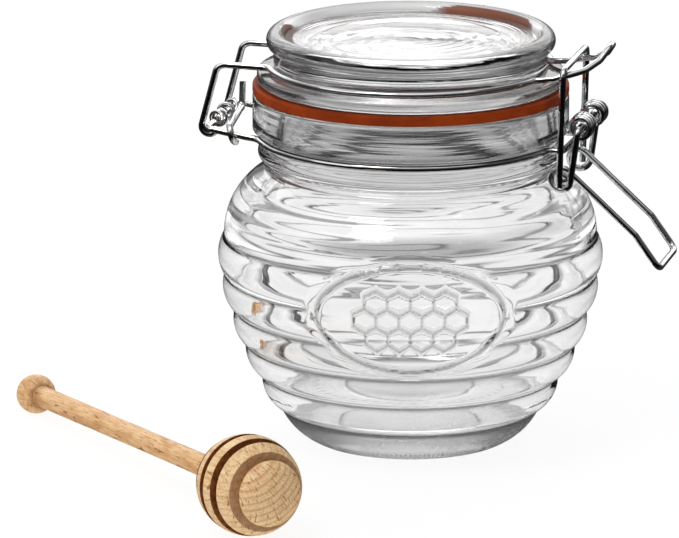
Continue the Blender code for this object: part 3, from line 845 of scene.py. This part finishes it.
def make_neck_wire(steel):
    """One wire: a coil round the lever's axle, half the neck, the hinge bar, and back again"""
    coil = []
    for k in range(COIL_STEPS + 1):
        turn = 2 * math.pi * COIL_TURNS * k / COIL_STEPS
        angle = -math.pi / 2 + turn
        coil.append(AXLE + Vector((COIL_RADIUS * math.cos(angle),
                                   -COIL_OUTER_Y + COIL_PITCH * turn / (2 * math.pi),
                                   COIL_RADIUS * math.sin(angle))))
    ring_to_latch, ring_to_hinge = NECK_RING_ENDS
    z = NECK_RING_HEIGHT
    latch_turn = tangent_end(NECK_RING_RADIUS, z, ring_to_latch, 1, -COIL_OUTER_Y)
    rise = [ring_run(NECK_RING_RADIUS, z, ring_to_latch, ring_to_latch, 1)[0], latch_turn,
            Vector((latch_turn.x + 0.0040, -COIL_OUTER_Y, z)),
            Vector((AXLE.x - 0.0008, -COIL_OUTER_Y, AXLE.z - COIL_RADIUS)), coil[0]]
    hinge_turn = tangent_end(NECK_RING_RADIUS, z, ring_to_hinge, -1, -HINGE_ARM_Y)
    arm = [ring_run(NECK_RING_RADIUS, z, ring_to_hinge, ring_to_hinge, 1)[0], hinge_turn,
           Vector((HINGE_ARM_BEND_X, -HINGE_ARM_Y, z + 0.0006)),
           Vector((HINGE.x, -HINGE_ARM_Y, HINGE.z)),
           Vector((HINGE.x, 0.0, HINGE.z))]
    near = (list(reversed(coil[1:])) + list(reversed(bent(rise, 0.0022)))
            + ring_run(NECK_RING_RADIUS, z, ring_to_latch, ring_to_hinge, RING_STEPS)[1:-1]
            + bent(arm, 0.0016)[:-1])
    data = wire_mesh("neck_wire_bent", [near + mirrored(near)])
    return add_piece("neck_wire_bent", data, steel, "jar", "neck_wire")


def make_lid_wire(steel):
    """One wire: a curl round the hinge bar, a leg, half the lid's neck, the tongue, and back"""
    corner_point = Vector((HINGE_CORNER_X, 0.0, LID_RING_HEIGHT + 0.0003))
    offset = corner_point - HINGE
    touch = math.atan2(offset.z, offset.x) + math.acos(CURL_RADIUS / offset.length)
    curl_count = 30
    curl_end = math.radians(340.0)
    curl = []
    for k in range(curl_count + 1):
        angle = curl_end + (touch - curl_end) * k / curl_count
        curl.append(HINGE + Vector((CURL_RADIUS * math.cos(angle), -HINGE_LEG_Y,
                                    CURL_RADIUS * math.sin(angle))))
    ring_to_latch, ring_to_hinge = LID_RING_ENDS
    z = LID_RING_HEIGHT
    hinge_turn = tangent_end(LID_RING_RADIUS, z, ring_to_hinge, -1, -HINGE_LEG_Y)
    leg = [curl[-1], Vector((HINGE_CORNER_X, -HINGE_LEG_Y, corner_point.z)), hinge_turn,
           ring_run(LID_RING_RADIUS, z, ring_to_hinge, ring_to_hinge, 1)[0]]
    tongue_turn = tangent_end(LID_RING_RADIUS, z, ring_to_latch, 1, TONGUE_ROOT_Y)
    tongue = [ring_run(LID_RING_RADIUS, z, ring_to_latch, ring_to_latch, 1)[0], tongue_turn]
    tongue += [Vector(spot) for spot in TONGUE]
    near = (curl[:-1] + bent(leg, 0.0027)
            + ring_run(LID_RING_RADIUS, z, ring_to_hinge, ring_to_latch, RING_STEPS)[1:-1]
            + bent(tongue, 0.0030)[:-1])
    data = wire_mesh("lid_wire_bent", [near + mirrored(near)])
    return add_piece("lid_wire_bent", data, steel, "lid", "lid_wire")


def make_hook(steel):
    """The inverted U that the lever pulls down over the tongue"""
    corners = [Vector((HOOK_END.x, -HOOK_LEG_Y, HOOK_END.z)),
               Vector((HOOK_BAR.x, -HOOK_LEG_Y, HOOK_BAR.z)),
               Vector((HOOK_BAR.x, HOOK_LEG_Y, HOOK_BAR.z)),
               Vector((HOOK_END.x, HOOK_LEG_Y, HOOK_END.z))]
    data = wire_mesh("hook_bail", [bent(corners, 0.0022)])
    return add_piece("hook_bail", data, steel, "hook", "hook")


def make_lever(steel):
    """One closed wire: the axle, an arm with an eye on each side, and the finger loop"""
    offset = AXLE - EYE_CENTRE
    start = math.atan2(offset.z, offset.x) - math.acos(EYE_RADIUS / offset.length)
    end = HANDLE_ANGLES[0] + math.pi / 2 - 2 * math.pi
    eye_count = 44
    eye = []
    for k in range(eye_count + 1):
        share = k / eye_count
        angle = start + (end - start) * share
        across = LEVER_ARM_Y + (LEVER_LEG_Y - LEVER_ARM_Y) * share
        eye.append(EYE_CENTRE + Vector((EYE_RADIUS * math.cos(angle), -across,
                                        EYE_RADIUS * math.sin(angle))))
    bends = [eye[-1]]
    for angle, length in zip(HANDLE_ANGLES, HANDLE_LENGTHS):
        bends.append(bends[-1] + Vector((math.cos(angle), 0.0, math.sin(angle))) * length)
    tip_middle = Vector((bends[-1].x, 0.0, bends[-1].z))
    top = bent([AXLE, Vector((AXLE.x, -LEVER_ARM_Y, AXLE.z)), eye[0]], 0.0014)
    near = top[1:-1] + eye + bent(bends + [tip_middle], 0.0024)[1:-1]
    data = wire_mesh("lever_loop", [near + mirrored(near)], closed=True)
    return add_piece("lever_loop", data, steel, "lever", "lever")


def make_hinge_tie(steel):
    """A tie wire with a cut stub, which runs behind the hinge and loops round one arm, and its
    thin uneven turns round the hinge bar"""
    loop_count = 26
    loop = []
    for k in range(loop_count + 1):
        share = k / loop_count
        angle = math.radians(35.0 + 230.0 * share)
        loop.append(TIE_LOOP_CENTRE + Vector((0.0004 + TIE_LOOP_DRIFT * share,
                                              TIE_LOOP_RADIUS * math.cos(angle),
                                              TIE_LOOP_RADIUS * math.sin(angle))))
    stub = [Vector(spot) for spot in TIE_STUB]
    wraps = []
    for k in range(TIE_WRAP_STEPS + 1):
        share = k / TIE_WRAP_STEPS
        angle = 2 * math.pi * TIE_WRAPS * share
        reach = TIE_WRAP_RADIUS + TIE_WRAP_SWELL[0] * math.sin(angle * TIE_WRAP_SWELL[1])
        drift = TIE_WRAP_ENDS[1] * share + TIE_WRAP_ENDS[0] * (1 - share)
        drift += TIE_WRAP_SWAY[0] * math.sin(angle * TIE_WRAP_SWAY[1])
        wraps.append(HINGE + Vector((reach * math.cos(angle), drift, reach * math.sin(angle))))
    wraps.append(wraps[-1] + TIE_WRAP_TAIL)
    body = wire_mesh("tie_twist", [bent(stub, 0.0016)[:-1] + loop])
    thin = wire_mesh("tie_wraps", [wraps], TIE_WRAP_WIRE)
    mesh = bmesh.new()
    mesh.from_mesh(body)
    mesh.from_mesh(thin)
    data = bpy.data.meshes.new("tie_twist")
    mesh.to_mesh(data)
    mesh.free()
    return add_piece("tie_twist", data, steel, "jar", "hinge_tie")


def dipper_head_radius(distance):
    """The round envelope of the head, at a distance from its tip"""
    reach = (distance - DIPPER_HEAD_MIDDLE) / DIPPER_HEAD_HALF
    return DIPPER_HEAD_RADIUS * math.sqrt(max(0.0, 1.0 - reach * reach))


def dipper_outline():
    """The head's five lands and four grooves, the stem and the knob, along the dipper's axis
    from the head's tip, as (radius, distance)"""
    land_starts = [0.0] + [end for _, end in DIPPER_GROOVES]
    land_ends = [start for start, _ in DIPPER_GROOVES] + [DIPPER_HEAD_LENGTH]
    cap, cap_radius = land_ends[0], dipper_head_radius(land_ends[0])
    outline = [Vector((0.0, 0.0))]
    for k in range(1, 17):
        angle = k / 16 * math.pi / 2
        outline.append(Vector((cap_radius * math.sin(angle), cap * (1 - math.cos(angle)))))
    for start, end in zip(land_starts[1:], land_ends[1:]):
        floor_start, floor_end = outline[-1].y + DIPPER_GROOVE_SLOPE, start - DIPPER_GROOVE_SLOPE
        edge = outline[-1]
        outline += [edge.lerp(Vector((DIPPER_CORE, floor_start)), share) for share in WALL_SHARES]
        outline += [Vector((DIPPER_CORE, floor_start + (floor_end - floor_start) * k / 4))
                    for k in range(1, 5)]
        edge = Vector((dipper_head_radius(start), start))
        outline += [Vector((DIPPER_CORE, floor_end)).lerp(edge, 1.0 - share)
                    for share in reversed((0.0,) + WALL_SHARES[:-1])]
        outline += [Vector((dipper_head_radius(start + (end - start) * k / 12),
                            start + (end - start) * k / 12)) for k in range(1, 13)]
    knob = DIPPER_LENGTH - DIPPER_KNOB_RADIUS
    thick, thin = DIPPER_STEM_RADIUS
    stem = [Vector((thick, DIPPER_HEAD_LENGTH + 0.0012)), Vector((thin, DIPPER_HEAD_LENGTH + 0.0300))]
    radii = (thin, thin + 0.0001, DIPPER_NECK_RADIUS, thin)
    stem += [Vector((radius, knob - back)) for radius, back in zip(radii, DIPPER_KNOB_NECK)]
    outline += curved(stem, 6)
    outline += [Vector((DIPPER_KNOB_RADIUS * math.sin(math.radians(a)),
                        knob - DIPPER_KNOB_RADIUS * math.cos(math.radians(a))))
                for a in range(40, 176, 8)]
    outline.append(Vector((0.0, DIPPER_LENGTH)))
    return outline


def make_dipper(wood):
    """Lying down: the head and the knob both touch the surface"""
    knob = DIPPER_LENGTH - DIPPER_KNOB_RADIUS
    fall = math.asin((DIPPER_HEAD_RADIUS - DIPPER_KNOB_RADIUS) / (knob - DIPPER_HEAD_MIDDLE))
    data = turned_mesh("dipper_turned", dipper_outline(), [(math.radians(10.0), 2 * math.pi, 96)])
    spots = places(data)
    turning = data.attributes.new("turning", "FLOAT_VECTOR", "POINT")
    turning.data.foreach_set("vector", spots.astype(np.float32).ravel())
    radius = np.hypot(spots[:, 0], spots[:, 1])
    distance = spots[:, 2]
    reach = (distance - DIPPER_HEAD_MIDDLE) / DIPPER_HEAD_HALF
    envelope = DIPPER_HEAD_RADIUS * np.sqrt(np.clip(1.0 - reach * reach, 0.0, 1.0))
    depth = np.clip((envelope - radius - 0.00004) / 0.0001, 0.0, 1.0)
    depth *= (distance > DIPPER_BURNT[0]) & (distance < DIPPER_BURNT[1])
    first_groove = np.clip((0.0100 - distance) / 0.002, 0.0, 1.0)
    knob_groove = bell(distance, knob - DIPPER_KNOB_GROOVE[0], DIPPER_KNOB_GROOVE[1])
    set_amounts(data, "burnt", np.maximum(depth * (1.0 - 0.40 * first_groove), knob_groove))
    lay = (Matrix.Translation(DIPPER_HEAD_AT + Vector((0.0, 0.0, DIPPER_HEAD_RADIUS - DIPPER_SINK)))
           @ Matrix.Rotation(DIPPER_YAW, 4, "Z") @ Matrix.Rotation(math.pi / 2 + fall, 4, "Y")
           @ Matrix.Translation((0.0, 0.0, -DIPPER_HEAD_MIDDLE)))
    data.transform(lay)
    laid = places(data)
    laid[:, 2] = np.maximum(laid[:, 2], 0.0)
    move_to(data, laid)
    return add_piece("dipper_turned", data, wood, "jar", "dipper")


def toward_camera():
    """The level direction from the jar to the camera"""
    return Vector((math.sin(CAMERA_AZIMUTH), -math.cos(CAMERA_AZIMUTH), 0.0))


def place_camera():
    level = toward_camera()
    back = level * math.cos(CAMERA_ELEVATION) + Vector((0, 0, math.sin(CAMERA_ELEVATION)))
    right = Vector((-level.y, level.x, 0.0))
    up = back.cross(right)
    spot = CAMERA_TARGET + back * CAMERA_DISTANCE
    aim = CAMERA_TARGET - right * CAMERA_AIM_LEFT - up * CAMERA_AIM_DOWN
    lens = bpy.data.cameras.new("camera")
    lens.lens = CAMERA_LENS_MM
    lens.sensor_width = 36.0
    camera = bpy.data.objects.new("camera", lens)
    camera.location = spot
    camera.rotation_euler = (aim - spot).to_track_quat("-Z", "Y").to_euler()
    bpy.context.collection.objects.link(camera)
    bpy.context.scene.camera = camera


def flat_card(name, centre, facing, width, height, paint):
    """A flat rectangle that faces a direction"""
    mesh = bmesh.new()
    bmesh.ops.create_grid(mesh, x_segments=1, y_segments=1, size=0.5)
    data = bpy.data.meshes.new(name)
    mesh.to_mesh(data)
    mesh.free()
    data.transform(Matrix.Diagonal((width, height, 1.0, 1.0)))
    data.transform(Matrix.Translation(centre) @ facing.to_track_quat("Z", "Y").to_matrix().to_4x4())
    data.materials.append(paint)
    card = bpy.data.objects.new(name, data)
    bpy.context.collection.objects.link(card)
    return card


def soft_light(name, centre, size, power):
    lamp = bpy.data.lights.new(name, "AREA")
    lamp.shape = "RECTANGLE"
    lamp.size, lamp.size_y = size
    lamp.energy = power
    light = bpy.data.objects.new(name, lamp)
    light.location = centre
    light.rotation_euler = (Vector((0.0, 0.0, 0.05)) - centre).to_track_quat("-Z", "Y").to_euler()
    bpy.context.collection.objects.link(light)


def light_studio():
    """A white tent with a dark camera side, a low dark band behind, and dark and bright patches"""
    world = bpy.data.worlds.new("studio")
    bpy.context.scene.world = world
    paint = Paint(world)
    direction = paint.node("ShaderNodeTexCoord", output="Generated")

    def facing(way):
        return paint.node("ShaderNodeVectorMath", {"operation": "DOT_PRODUCT"}, (direction, tuple(way)),
                          "Value")

    level = toward_camera()
    height = facing((0.0, 0.0, 1.0))
    front = facing(level).ramp(*FRONT_EDGE) * height.ramp(*FRONT_TOP, 1.0, 0.0)
    light = TENT_LIGHT + (FRONT_LIGHT - TENT_LIGHT) * front
    for turn, rise, spread, brightness in PATCHES:
        turn, rise, spread = math.radians(turn), math.radians(rise), math.radians(spread)
        way = Matrix.Rotation(turn, 3, "Z") @ level * math.cos(rise) + Vector((0, 0, math.sin(rise)))
        mask = facing(way).ramp(math.cos(spread), math.cos(spread * 0.8))
        light = light + (brightness - light) * mask
    light = light * (height.ramp(*GROUND_LINE, LOW_LIGHT, HORIZON_LIGHT)
                     + height.ramp(*HORIZON_TOP, 0.0, 1.0 - HORIZON_LIGHT))
    background = world.node_tree.nodes["Background"]
    background.inputs["Color"].default_value = (1.0, 1.0, 1.0, 1.0)
    paint.feed(background.inputs["Strength"], light)
    ground = flat_card("ground", Vector((0.0, 0.0, -0.0004)), Vector((0.0, 0.0, 1.0)), 12.0, 12.0,
                       ground_paint())
    ground.visible_glossy = False
    right = Vector((-level.y, level.x, 0.0))
    spot = level * 0.6 - right * 0.5 + Vector((0, 0, 1.3))
    soft_light("key_light", spot, KEY_LIGHT_SIZE, KEY_LIGHT_POWER)
    bpy.context.scene.view_settings.view_transform = "Standard"


place_camera()
light_studio()
jar_paint = glass_paint("jar_clear_glass", 0.97, 0.12, 0.00020)
lid_paint = glass_paint("lid_clear_glass", 0.97, 0.22, 0.00002)
steel = steel_paint()
make_jar(jar_paint)
make_lid(lid_paint)
make_gasket(rubber_paint())
make_neck_wire(steel)
make_lid_wire(steel)
make_hook(steel)
make_lever(steel)
make_hinge_tie(steel)
make_dipper(wood_paint())
